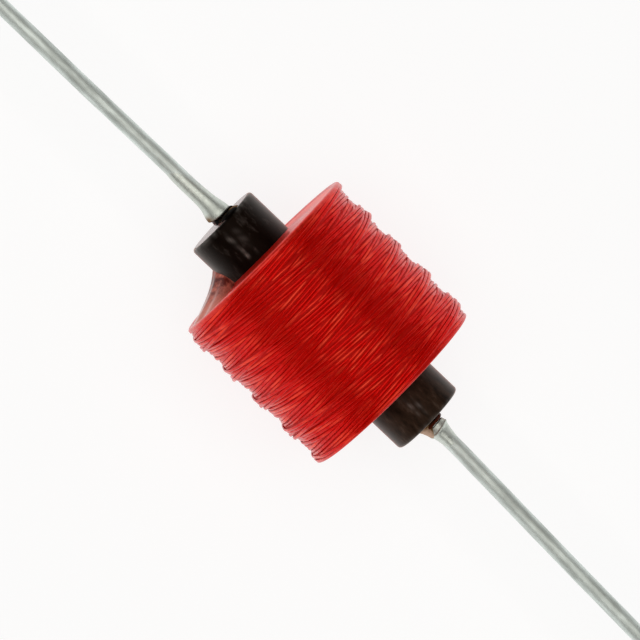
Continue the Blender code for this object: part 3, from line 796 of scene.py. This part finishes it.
class CHOKE_OT_coil(bpy.types.Operator):
    """Winds the coil: its two outer coats of wire, the turn-arounds on its faces, the mass below and the
    varnish on its finish face and rims"""

    bl_idname = "choke.coil"
    bl_label = "Wind Coil"

    # Section of the varnish bead on a rim: how far in from the coil's end and how far over its wires, in mm
    bead = (
        (0.06, -0.6), (0.0, -0.42), (-0.035, -0.3), (-0.04, -0.2), (-0.015, -0.09), (0.04, -0.015),
        (0.11, 0.018), (0.18, 0.015), (0.25, -0.015), (0.3, -0.07), (0.34, -0.16),
    )
    # Section of the varnish on the face: share of the way from the core to the rim, and thickness in mm
    face = ((0, 0.15), (0.03, 0.1), (0.07, 0.05), (0.13, 0.02), (0.2, 0), (0.93, 0), (1, -0.08))

    def execute(self, context):
        scene = context.scene
        sizes, inner = scene.choke_coil, scene.choke_core.diameter / 2
        rng = np.random.default_rng(sizes.seed)
        along, angle, radius, crossing, level, places = wind_coil(sizes, inner)
        line = np.arange(len(along)) % sizes.points_per_turn
        column = np.round((along - places[0]) / (places[1] - places[0])).astype(int)
        turn = full_turn(sizes.points_per_turn) + sizes.start_angle
        radius, level, depth = bed_wires(sizes, inner, turn, (line, column), radius, level, places)
        self.lay_wires(scene, rng, along, angle + sizes.start_angle, radius, depth, crossing)
        self.fill_gaps(scene, inner, level, places, turn)
        self.varnish_face(scene, inner, level, places, turn)
        self.bead_rims(scene, rng, level, turn)
        return {"FINISHED"}

    def lay_wires(self, scene, rng, along, angle, radius, depth, crossing):
        """Draws the wire: its two outer coats in full, and deeper turns only where they show on the faces."""
        sizes = scene.choke_coil
        material = enamelled_wire_material(scene.choke_finish)
        strand = rng.random(crossing[-1] + 1)[crossing]
        painted_glint = painted_glint_strokes(rng, sizes, along, angle)
        points = round_coil(along, angle, radius, sizes)
        # The last wires at each rim lie on its shoulder, so their flat side leans outward
        shoulder = np.sign(along) * np.clip((np.abs(along) - along.max() + 0.3) / 0.3, 0, 1) ** 2
        outward = np.stack([0.8 * shoulder, np.cos(angle), np.sin(angle)], -1)
        crest = np.array([1, 0.3, 0, 0, 0, 0.3])  # share of the painted highlight at each side of the wire, most on its crest
        sides = len(crest)
        half_wire = sizes.wire * 0.52  # a little fat, so that neighbours touch

        def add_runs(name, runs):
            lofts = [tube_rings(points[r], outward[r], half_wire, sides, sizes.bedding) for r in runs]
            marks = {
                # depth darkens the wire's red in its material, as painted shade where a wire lies deep
                "depth": np.concatenate([np.repeat(depth[r], sides) for r in runs]),
                "strand": np.concatenate([np.repeat(strand[r], sides) for r in runs]),
                "painted_glint": np.concatenate([np.outer(painted_glint[r], crest).ravel() for r in runs]),
            }
            return add_piece(name, lofts, material, "enamelled_wire", 80, **marks)

        end = len(along)
        coat = sizes.shown_turns * sizes.points_per_turn
        top = add_runs("coil_top_coat", [slice(end - coat, end)])
        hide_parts("coil")
        add_runs("coil_second_coat", [slice(end - 2 * coat - 1, end - coat + 1)])

        shown = 0.75  # how far in from a face the deeper turns are drawn, in mm
        near_rim = np.abs(along) > sizes.length / 2 - shown
        near_rim[end - 2 * coat :] = False
        change = np.flatnonzero(np.diff(np.concatenate([[0], near_rim.astype(int), [0]])))
        add_runs("coil_turn_arounds", [slice(a, b) for a, b in zip(change[::2], change[1::2]) if b - a > 4])

    def fill_gaps(self, scene, inner, level, places, turn):
        """Makes what shows between the wires: the mass of wire and varnish below them."""
        sizes = scene.choke_coil
        step = 8  # columns of the map from one ring to the next
        stations = np.arange(RIM_CELL - 1, len(places) - 4, step)
        # Varnish drained off the sides, so there the gaps are deeper
        skin = level[:, stations].T - sizes.wire * (0.24 + 0.1 * np.cos(turn) ** 4)
        where = places[stations]
        where[0], where[-1] = places[0] + 0.05, places[-1] - 0.05
        where = np.concatenate([[where[0]], where, [where[-1]]])
        foot = np.full(len(turn), inner - 0.1)
        rings = coil_rings(where, turn, np.concatenate([[foot], skin, [foot]]), sizes)
        add_piece("coil_mass", [rings], pooled_varnish_material(scene.choke_finish), "enamelled_wire", 60)

    def varnish_face(self, scene, inner, level, places, turn):
        """Varnishes the ends of the turns on the finish face, with a fillet against the core."""
        sizes = scene.choke_coil
        foot = inner + 0.02
        rim = level[:, RIM_CELL] - 0.13
        shares = np.concatenate([[0, 0.03, 0.07], np.linspace(0.1, 0.93, 90), [1]])
        thick = np.interp(shares, *zip(*self.face))
        # The turns' ends below it show as faint rings
        ring_height, ring_pitch = 0.006, 0.19
        between = slice(3, -1)
        rings_out = shares[between] * (rim.mean() - inner) / ring_pitch
        thick[between] += ring_height * np.sin(2 * math.pi * rings_out)
        rings = coil_rings(places[0] + 0.035 - thick, turn, foot + np.outer(shares, rim - foot), sizes)
        near_core = np.repeat(1 - shares, len(turn))
        material = face_varnish_material(scene.choke_finish)
        add_piece("coil_finish_face", [rings], material, "enamelled_wire", 60, near_core=near_core)

    def bead_rims(self, scene, rng, level, turn):
        """Gathers varnish in a smooth bead over each rim, where the wires turn round."""
        sizes = scene.choke_coil
        material = rim_varnish_material(scene.choke_finish)
        for name, end, size in (("coil_finish_bead", -1, 1.0), ("coil_start_bead", 1, 0.5)):
            rim = level[:, RIM_CELL if end < 0 else -1 - RIM_CELL]
            rim = rim + 0.01 * soft_noise(rng, len(turn) + 1, 24)[:-1]
            inward, rise = size * np.array(self.bead).T
            rings = coil_rings(end * (sizes.length / 2 - inward), turn, rim + rise[:, None], sizes)
            add_piece(name, [rings], material, "enamelled_wire", 60)


class CHOKE_OT_core(bpy.types.Operator):
    """Makes the black rod with its worn edges, rubs and chips, and a painted sheen on its flanks"""

    bl_idname = "choke.core"
    bl_label = "Make Core"

    # Rubs and chips: place along the rod from its middle, angle round it, length and width, strength, depth.
    # Lengths in mm, the angle in degrees
    marks = (
        (-7.1, 99, 1.2, 0.13, 0.2, 0.01),
        (-7.5, 101, 0.5, 0.1, 0.16, 0.01),
        (-6.18, 99, 0.6, 0.1, 0.8, 0.03),
        (-5.85, 86, 0.4, 0.06, 0.34, 0.03),
        (-7.0, 86, 1.3, 0.2, 0.12, 0.01),
        (6.95, 94.5, 1.2, 0.1, 0.3, 0.006),
        (7.2, 85.5, 1.1, 0.1, 0.26, 0.006),
        (7.2, 210, 1.4, 0.12, 0.2, 0.01),
        (-6.9, 300, 1.2, 0.12, 0.2, 0.01),
        (7.0, 330, 0.5, 0.16, 0.3, 0.03),
    )

    def execute(self, context):
        sizes, finish = context.scene.choke_core, context.scene.choke_finish
        half, radius, edge = sizes.length / 2, sizes.diameter / 2, sizes.edge
        turn = full_turn(144)
        bend = np.radians(np.linspace(0, 90, 7))
        nose = [(-half, radius * share) for share in (0.1, 0.4, 0.7)]
        nose += [(-half + edge * (1 - math.sin(b)), radius - edge * (1 - math.cos(b))) for b in bend[::-1]]
        body = [(x, radius) for x in np.arange(-half + 2 * edge, half - 1.5 * edge, 0.1)]
        profile = np.array(nose + body + [(-x, r) for x, r in nose[::-1]])
        x, r = (np.repeat(column[:, None], len(turn), 1) for column in profile.T)
        r = r - self.waves(len(profile), len(turn)) * sizes.waviness * (r / radius) ** 4
        r, scuff = self.rub(x, r, turn, sizes)
        rings = core_rings(x, r, turn, sizes)
        piece = add_piece("core_rod", [rings], core_material(finish), "core", 70, scuff=scuff)
        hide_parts("core")

        ground = core_end_material(finish)
        for end, name in ((-1, "core_finish_end"), (1, "core_start_end")):
            x = end * (half + np.array([0.008, 0.008, 0.004, -0.05]))
            r = np.array([0.2, radius - edge * 1.5, radius - edge, radius - edge])
            x, r = (np.repeat(column[:, None], len(turn), 1) for column in (x, r))
            add_piece(name, [core_rings(x, r, turn, sizes)], ground, "core", 40)
        return {"FINISHED"}

    def waves(self, count, sides):
        """The moulded skin's hollows, from 0 to about 1: seven random rings, blended along the rod."""
        rng = np.random.default_rng(11)
        wave = np.array([soft_noise(rng, sides + 1, 9)[:sides] for _ in range(7)])
        wave = wave - wave.mean()
        pick = np.linspace(0, 5.99, count)
        low = pick.astype(int)
        share = (pick - low)[:, None]
        fade = np.abs(np.linspace(-1, 1, sides))[None]  # so that the seam of the noise doesn't show
        return np.abs(wave[low] * (1 - share) + wave[low + 1] * share) * (1 - fade**4)

    def rub(self, x, r, turn, sizes):
        """Cuts the marks into the radii, and says how much each corner is lightened, by rubs and by a painted
        sheen on the flanks.
        """
        half, radius, edge = sizes.length / 2, sizes.diameter / 2, sizes.edge
        finish_side = x < 0
        scuff = np.zeros_like(r)
        for place, degrees, length, width, strength, depth in self.marks:
            gap = (np.degrees(turn)[None] - degrees + 180) % 360 - 180
            reach = ((x - place) / (length / 2)) ** 2 + (np.radians(gap) * radius / width) ** 2
            spot = np.exp(-(reach**1.5)) * (r > radius * 0.9)
            scuff += strength * spot * (0.6 + 0.4 * np.sin(17 * turn[None] + 9 * x))
            r = r - depth * spot
        # The edges are rubbed all round, but for the place on the finish end that the resin covers
        worn = np.exp(-(((np.abs(x) - half + edge * 0.5) / (edge * 0.55)) ** 2)) * (r > radius * 0.8)
        worn *= 1 - np.exp(-(((np.degrees(turn)[None] - 86) / 21) ** 8)) * finish_side
        uneven = 0.6 + 0.4 * np.sin(23 * turn[None] + 2 * np.sin(7 * turn[None]))
        scuff += np.where(finish_side, 0.2, 0.1) * worn * uneven
        # The rod's two flanks, the sides seen at a glance, are lightened as a painted sheen, more on the
        # finish side
        scuff += np.where(finish_side, 0.34, 0.22) * np.abs(np.cos(turn)) ** 8
        return r, scuff


class CHOKE_OT_leads(bpy.types.Operator):
    """Draws the two tinned leads along their solids, with sheared tips"""

    bl_idname = "choke.leads"
    bl_label = "Draw Leads"

    # The tip that the cutter pinched: share of the lead's radius, and distance back from the end in mm
    tip = ((0.45, 0.06), (0.86, 0.06), (0.965, 0.11), (1.0, 0.2))

    def execute(self, context):
        material = tinned_wire_material(context.scene.choke_finish)
        half = context.scene.choke_lead.diameter / 2
        rng = np.random.default_rng(5)
        turn = full_turn(32)
        for node in ("finish_lead", "start_lead"):
            line = middle_line(node, 90)
            if abs(line[0, 0]) < abs(line[-1, 0]):
                line = line[::-1]  # from the tip to the core
            for axis in (1, 2):
                line[1:-1, axis] = (line[:-2, axis] + 2 * line[1:-1, axis] + line[2:, axis]) / 4
            low, high = corners(node)
            end = low[0] if line[0, 0] < 0 else high[0]
            line[0] = line[1] + (line[1] - line[2]) * (end - line[1, 0]) / (line[1, 0] - line[2, 0])
            radius = half + 0.004 * soft_noise(rng, len(line), 40)
            up = np.tile([0.0, 0.0, 1.0], (len(line), 1))
            rings = tube_rings(line, up, radius, len(turn))
            inward = unit(line[1] - line[0])
            burr = 0.05 * np.cos(turn)[:, None] * inward  # it slants
            nose = [line[0] + (rings[0] - line[0] + burr) * share + inward * back for share, back in self.tip]
            rings = np.concatenate([nose, rings[1:]])
            piece = add_piece(node + "_wire", [rings], material, "tinned_wire", 40)
            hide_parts(node)
        return {"FINISHED"}


def collar(line, profile, lumps, rng, skew, shift=0.0):
    """Rings of a collar round a lead. profile holds for each ring its place along X, its radius and its
    slant: how far it leans along X, times skew at each corner. Fat rings are uneven by lumps and moved along
    +Y by shift."""
    sides = len(skew)
    turn = full_turn(sides)
    uneven = np.array([soft_noise(rng, sides + 1, 7)[:sides] for _ in range(3)])
    uneven *= 1 - np.abs(np.linspace(-1, 1, sides)) ** 6  # so that the noise has no seam
    fat = max(radius for _, radius, _ in profile)
    rings = []
    for k, (place, radius, slant) in enumerate(profile):
        share = k / (len(profile) - 1)
        middle = on_line(line, place)
        middle[0] = place
        swell = max(radius / fat - 0.5, 0) * 2
        middle[1] += shift * swell
        bump = (uneven[0] * (1 - share) + uneven[1] * share) * lumps * swell
        across = (radius + bump)[:, None] * np.stack([0 * turn, np.cos(turn), np.sin(turn)], -1)
        across[:, 0] = slant * skew + uneven[2] * lumps * 0.6 * min(abs(slant) / 0.1, 1)
        rings.append(middle + across)
    return np.array(rings)


def drop_away(turn):
    """The skew of a back edge that is square on its +Y side and drops away on its -Y side."""
    return -np.clip(-np.cos(turn), 0, 1) ** 1.5


class CHOKE_OT_solder(bpy.types.Operator):
    """Runs solder round each lead where the wire end joins it"""

    bl_idname = "choke.solder"
    bl_label = "Run Solder"

    # How far the solder stands off the lead: distance past the core, stand, slant, all in mm
    finish_run = (
        (4.1, -0.01, 0.0), (3.7, 0.028, 0.0), (2.95, 0.04, 0.0), (2.05, 0.055, 0.0), (1.5, 0.08, 0.01),
        (1.15, 0.12, 0.04), (0.85, 0.19, 0.07), (0.6, 0.25, 0.08), (0.3, 0.275, 0.1), (0.24, 0.2, 0.1),
        (0.2, -0.1, 0.08),
    )
    start_run = (
        (1.95, -0.01, 0.0), (1.65, 0.02, 0.0), (1.3, 0.075, 0.03), (1.0, 0.14, 0.09), (0.91, 0.19, 0.11),
        (0.87, 0.23, 0.12), (0.82, 0.235, 0.12), (0.77, 0.19, 0.11), (0.62, 0.155, 0.08),
        (0.48, 0.13, 0.03), (0.42, -0.02, 0.0),
    )

    def execute(self, context):
        material = solder_material(context.scene.choke_finish)
        lead = context.scene.choke_lead
        half = lead.diameter / 2
        rng = np.random.default_rng(8)
        turn = full_turn(48)
        sideways = np.cos(turn)
        # Flux browns the finish run's back edge where it drops away, and the start run's, which leans
        # evenly, at its two sides
        one_side, both_sides = np.clip(-sideways - 0.45, 0, 0.4) / 0.4, np.abs(sideways) ** 12
        for node, run, core_end, away, skew, shift, browned in (
            ("finish", self.finish_run, FINISH_END, -1, drop_away(turn), -0.12, one_side),
            ("start", self.start_run, START_END, 1, -sideways, 0.0, both_sides),
        ):
            steps = np.linspace(0, len(run) - 1, 5 * len(run))
            run = np.stack([np.interp(steps, range(len(run)), column) for column in zip(*run)], 1)
            run[1:-9] = (run[:-10] + 2 * run[1:-9] + run[2:-8]) / 4  # all but the crisp back edge
            profile = [(core_end + away * past, half + stand, slant) for past, stand, slant in run]
            rings = collar(middle_line(node + "_lead", 60), profile, lead.solder_edge, rng, skew, shift)
            back = np.clip((steps / steps[-1] - 0.62) / 0.12, 0, 1)
            stain = back[:, None] * browned
            piece = add_piece(node + "_solder_run", [rings], material, "solder", 45, stain=stain)
            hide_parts(node + "_solder")
        return {"FINISHED"}


class CHOKE_OT_resin(bpy.types.Operator):
    """Lets resin set round each lead's root, up the core's finish end, and in a web beside the start lead"""

    bl_idname = "choke.resin"
    bl_label = "Set Resin"

    # Distance past the core, radius, slant, all in mm
    finish_lump = (
        (0.27, 0.45, 0.1), (0.26, 0.61, 0.1), (0.2, 0.69, 0.1), (0.12, 0.71, 0.05), (0.03, 0.75, 0.0),
        (-0.03, 0.82, 0.0),
    )
    start_lump = (
        (0.42, 0.45, 0.0), (0.4, 0.56, 0.0), (0.34, 0.64, 0.0), (0.2, 0.67, 0.0), (0.06, 0.7, 0.0),
        (-0.02, 0.76, 0.0),
    )
    # Section of the drop on the core's end: share of its size, and thickness in mm
    climb = ((1.0, -0.03), (0.98, 0.03), (0.85, 0.1), (0.6, 0.15), (0.3, 0.17))
    # Section of the web: distance past the core and radius, in mm
    web = ((0.0, 0.42), (0.0, 1.14), (0.12, 1.03), (0.36, 0.87), (0.62, 0.75), (0.86, 0.68), (0.86, 0.42))

    def execute(self, context):
        material = resin_material(context.scene.choke_finish)
        lumps = context.scene.choke_lead.bead_lumps
        rng = np.random.default_rng(3)
        turn = full_turn(48)

        line = middle_line("finish_lead", 60)
        profile = [(FINISH_END - past, radius, slant) for past, radius, slant in self.finish_lump]
        rings = collar(line, profile, lumps, rng, drop_away(turn), 0.05)
        # It is thin, and so amber, only where it feathers out at its +Y side
        thin = np.clip((rings[..., 1] - rings[..., 1].max() + 0.16) / 0.14, 0, 1) * 0.6
        piece = add_piece("finish_resin", [rings], material, "resin", 60, thin=thin)
        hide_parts("finish_bead")
        self.climb_core(material, line[-1], turn)

        line = middle_line("start_lead", 60)
        profile = [(START_END + past, radius, slant) for past, radius, slant in self.start_lump]
        rings = collar(line, profile, lumps * 0.4, rng, np.cos(turn))
        near = np.clip(1 - (rings[..., 0] - START_END) / 0.3, 0, 1)
        thin = near * np.clip(0.2 - np.cos(turn), 0, 1) * 0.4
        piece = add_piece("start_resin", [rings], material, "resin", 60, thin=thin)
        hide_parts("start_bead")
        self.spread_web(material, line, rng)
        return {"FINISHED"}

    def climb_core(self, material, root, turn):
        """The resin that crept up the core's end: a flat drop from the lead to the edge."""
        edge = 1 + 0.05 * np.sin(5 * turn) + 0.04 * np.sin(8 * turn + 1)
        squarish = edge * np.sign(np.cos(turn)) * np.abs(np.cos(turn)) ** 0.5
        rings = []
        for share, thick in self.climb:
            across = root[1] + 0.16 + 0.68 * share * squarish
            up = root[2] + 1.12 + 1.22 * share * np.sin(turn)
            rings.append(np.stack([np.full(len(turn), CORE_LOW[0] + 0.02 - thick), across, up], -1))
        thin = np.tile(0.5 * np.clip(np.cos(turn) * 4 - 2.8, 0, 1), len(rings))
        add_piece("finish_resin_climb", [rings], material, "resin", 60, thin=thin)

    def spread_web(self, material, line, rng):
        """The web: a strip of its sections, swept round the lead's -Y side."""
        count, root = 30, self.web[0][1]
        sections, thin = [], []
        ragged = 0.02 * soft_noise(rng, count, 6)
        for k, degrees in enumerate(np.linspace(106, 238, count)):
            a = math.radians(degrees)
            fade = math.sin(math.pi * (k + 0.3) / (count - 0.4)) ** 0.35
            open_side = min(max((degrees - 112) / 32, 0), 1)
            section = []
            for past, radius in self.web:
                past *= 0.5 + 0.5 * open_side
                radius = root + (radius - root + ragged[k]) * fade
                middle = on_line(line, START_END + past)
                middle[0] = START_END + past - 0.12 * past * math.cos(a)
                section.append(middle + [0, radius * math.cos(a), radius * math.sin(a)])
                thin.append((0.25 + 0.75 * open_side) * min(0.5 + 1.6 * past, 1))
            sections.append(section)
        add_piece("start_resin_web", [sections], material, "resin", 60, thin=thin)


class CHOKE_OT_wire_ends(bpy.types.Operator):
    """Gives the wire ends that run to the leads their enamel"""

    bl_idname = "choke.wire_ends"
    bl_label = "Dress Wire Ends"

    def execute(self, context):
        material = scorched_wire_material(context.scene.choke_finish)
        for node in ("finish_tail", "start_tail"):
            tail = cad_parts[node]
            tail.data.materials.clear()
            tail.data.materials.append(material)
        return {"FINISHED"}


class CHOKE_OT_cement(bpy.types.Operator):
    """Brushes cement into the corner between the core and the coil's finish face"""

    bl_idname = "choke.cement"
    bl_label = "Brush On Cement"

    first, last = math.radians(149), math.radians(204)  # where round the core it starts and ends
    foot, spread = 2.35, 3.5  # its radius at the core, and how far it reaches from there, in mm

    def execute(self, context):
        rng = np.random.default_rng(21)
        face, count = COIL_LOW[0] + 0.1, 40
        out_steps = np.linspace(0, 1, 22)
        climb = 1 - out_steps
        ragged = soft_noise(rng, count, 9)
        ripple = soft_noise(rng, count, 5)
        rings = []
        for k, a in enumerate(np.linspace(self.first, self.last, count)):
            middle = math.sin(math.pi * k / (count - 1)) ** 0.5
            reach = self.foot + (self.spread + 0.15 * ragged[k]) * (0.35 + 0.65 * middle) * out_steps
            height = (0.57 * climb**4 + (1.09 + 0.05 * ripple[k]) * climb) * middle
            across, up = COIL_CENTRE[1] + reach * math.cos(a), COIL_CENTRE[2] + reach * math.sin(a)
            top = lean_face(np.stack([face - 0.06 - height, across, up], -1), context.scene.choke_coil)
            # The far side lies inside the coil's face, so each ring is a closed strip
            back = top.copy()
            back[:, 0] = face + 0.25
            rings.append(np.concatenate([top, back[::-1]]))
        near = climb * np.clip((0.15 + out_steps) * 3, 0, 1) * 0.95
        near_core = np.tile(np.concatenate([near, near[::-1]]), count)
        material = cement_material(context.scene.choke_finish)
        piece = add_piece("face_cement_film", [rings], material, "cement", 60, near_core=near_core)
        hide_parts("face_cement")
        return {"FINISHED"}


class CHOKE_OT_stage(bpy.types.Operator):
    """Sets the white floor, the soft lights and the camera"""

    bl_idname = "choke.stage"
    bl_label = "Set Stage"

    def execute(self, context):
        scene = context.scene
        self.lay_floor(scene, scene.choke_stage)
        self.hang_softbox(scene, scene.choke_stage)
        self.light_surround(scene, scene.choke_stage)
        self.aim_camera(scene, scene.choke_stage)
        scene.view_settings.view_transform = "Standard"
        return {"FINISHED"}

    def lay_floor(self, scene, sizes):
        """A floor 12 m wide, just below the part."""
        far = 6.0
        mesh = bpy.data.meshes.new("studio_floor")
        mesh.from_pydata([(-far, -far, 0), (far, -far, 0), (far, far, 0), (-far, far, 0)], [], [(0, 1, 2, 3)])
        mesh.materials.append(floor_material(scene.choke_finish, sizes.floor_glow))
        floor = bpy.data.objects.new("studio_floor", mesh)
        floor.location.z = -0.02 * MM
        scene.collection.objects.link(floor)

    def hang_softbox(self, scene, sizes):
        """A square lamp 0.6 m up, moved over by 3 degrees so that it lights the near side more."""
        height, over = 0.6, math.radians(3)
        lamp = bpy.data.lights.new("softbox", "AREA")
        lamp.shape, lamp.size = "SQUARE", 0.69
        lamp.color = (1.0, 0.97, 0.92)
        # An area lamp's brightness is its power over pi times its area
        lamp.energy = sizes.softbox * math.pi * lamp.size**2
        softbox = bpy.data.objects.new("softbox", lamp)
        softbox.location = (0, height * math.tan(over), height)
        softbox.visible_camera = False
        scene.collection.objects.link(softbox)

    def light_surround(self, scene, sizes):
        """A white surround up to just above eye level, higher on the near side, and dark above it."""
        world = bpy.data.worlds.new("studio")
        world.use_nodes = True
        world.node_tree.nodes.clear()
        node = partial(add_node, world.node_tree)
        place = node("TexCoord", out="Generated")
        slope = node("VectorMath", {0: place, 1: (0, 0.11, 1)}, "Value", operation="DOT_PRODUCT")
        edge = {"Value": slope, "From Min": 0.24, "From Max": 0.31, "To Min": sizes.horizon, "To Max": 0.05}
        bright = node("MapRange", edge)
        glow = node("Background", {"Color": (1, 0.985, 0.965, 1), "Strength": bright})
        node("OutputWorld", {"Surface": glow})
        scene.world = world

    def aim_camera(self, scene, sizes):
        """A long lens over the coil, turned so that the choke lies from corner to corner of the picture."""
        data = bpy.data.cameras.new("camera")
        data.angle = sizes.field
        distance = sizes.width * MM / 2 / math.tan(sizes.field / 2)
        back = Vector((-math.sin(sizes.tilt), 0, math.cos(sizes.tilt)))
        forward_edge = Vector((math.cos(sizes.tilt), 0, math.sin(sizes.tilt)))
        side = Vector((0, 1, 0))
        right = (forward_edge + side).normalized()
        up = (side - forward_edge).normalized()
        pixel = sizes.width * MM / PICTURE
        off = Vector(sizes.coil_seen_at) - Vector((PICTURE / 2, PICTURE / 2))
        target = Vector(COIL_CENTRE * MM) - right * off.x * pixel + up * off.y * pixel
        camera = bpy.data.objects.new("camera", data)
        turned = Matrix((right, up, back)).transposed().to_4x4()
        camera.matrix_world = Matrix.Translation(target + back * distance) @ turned
        data.clip_start, data.clip_end = distance * 0.1, distance * 100
        scene.collection.objects.link(camera)
        scene.camera = camera


class CHOKE_PT_panel(bpy.types.Panel):
    """Steps that build the choke, in order"""

    bl_idname = "CHOKE_PT_panel"
    bl_label = "Axial Choke"
    bl_space_type = "VIEW_3D"
    bl_region_type = "UI"
    bl_category = "Choke"

    def draw(self, context):
        for operator in OPERATORS:
            self.layout.operator(operator.bl_idname)
        for group in GROUPS:
            box = self.layout.box()
            settings = getattr(context.scene, group)
            box.label(text=settings.bl_rna.name)
            for name in settings.__annotations__:
                box.prop(settings, name)


OPERATORS = (
    CHOKE_OT_coil,
    CHOKE_OT_core,
    CHOKE_OT_leads,
    CHOKE_OT_solder,
    CHOKE_OT_resin,
    CHOKE_OT_wire_ends,
    CHOKE_OT_cement,
    CHOKE_OT_stage,
)
GROUPS = {
    "choke_coil": CoilSizes,
    "choke_core": CoreSizes,
    "choke_lead": LeadSizes,
    "choke_finish": Finish,
    "choke_stage": StageSizes,
}


def register():
    for group in GROUPS.values():
        bpy.utils.register_class(group)
    for operator in OPERATORS:
        bpy.utils.register_class(operator)
    bpy.utils.register_class(CHOKE_PT_panel)
    for name, group in GROUPS.items():
        setattr(bpy.types.Scene, name, PointerProperty(type=group))


def unregister():
    for name in GROUPS:
        delattr(bpy.types.Scene, name)
    bpy.utils.unregister_class(CHOKE_PT_panel)
    for operator in reversed(OPERATORS):
        bpy.utils.unregister_class(operator)
    for group in reversed(GROUPS.values()):
        bpy.utils.unregister_class(group)


def main():
    register()
    bpy.ops.choke.coil()
    bpy.ops.choke.core()
    bpy.ops.choke.leads()
    bpy.ops.choke.solder()
    bpy.ops.choke.resin()
    bpy.ops.choke.wire_ends()
    bpy.ops.choke.cement()
    bpy.ops.choke.stage()


if __name__ == "__main__":
    main()
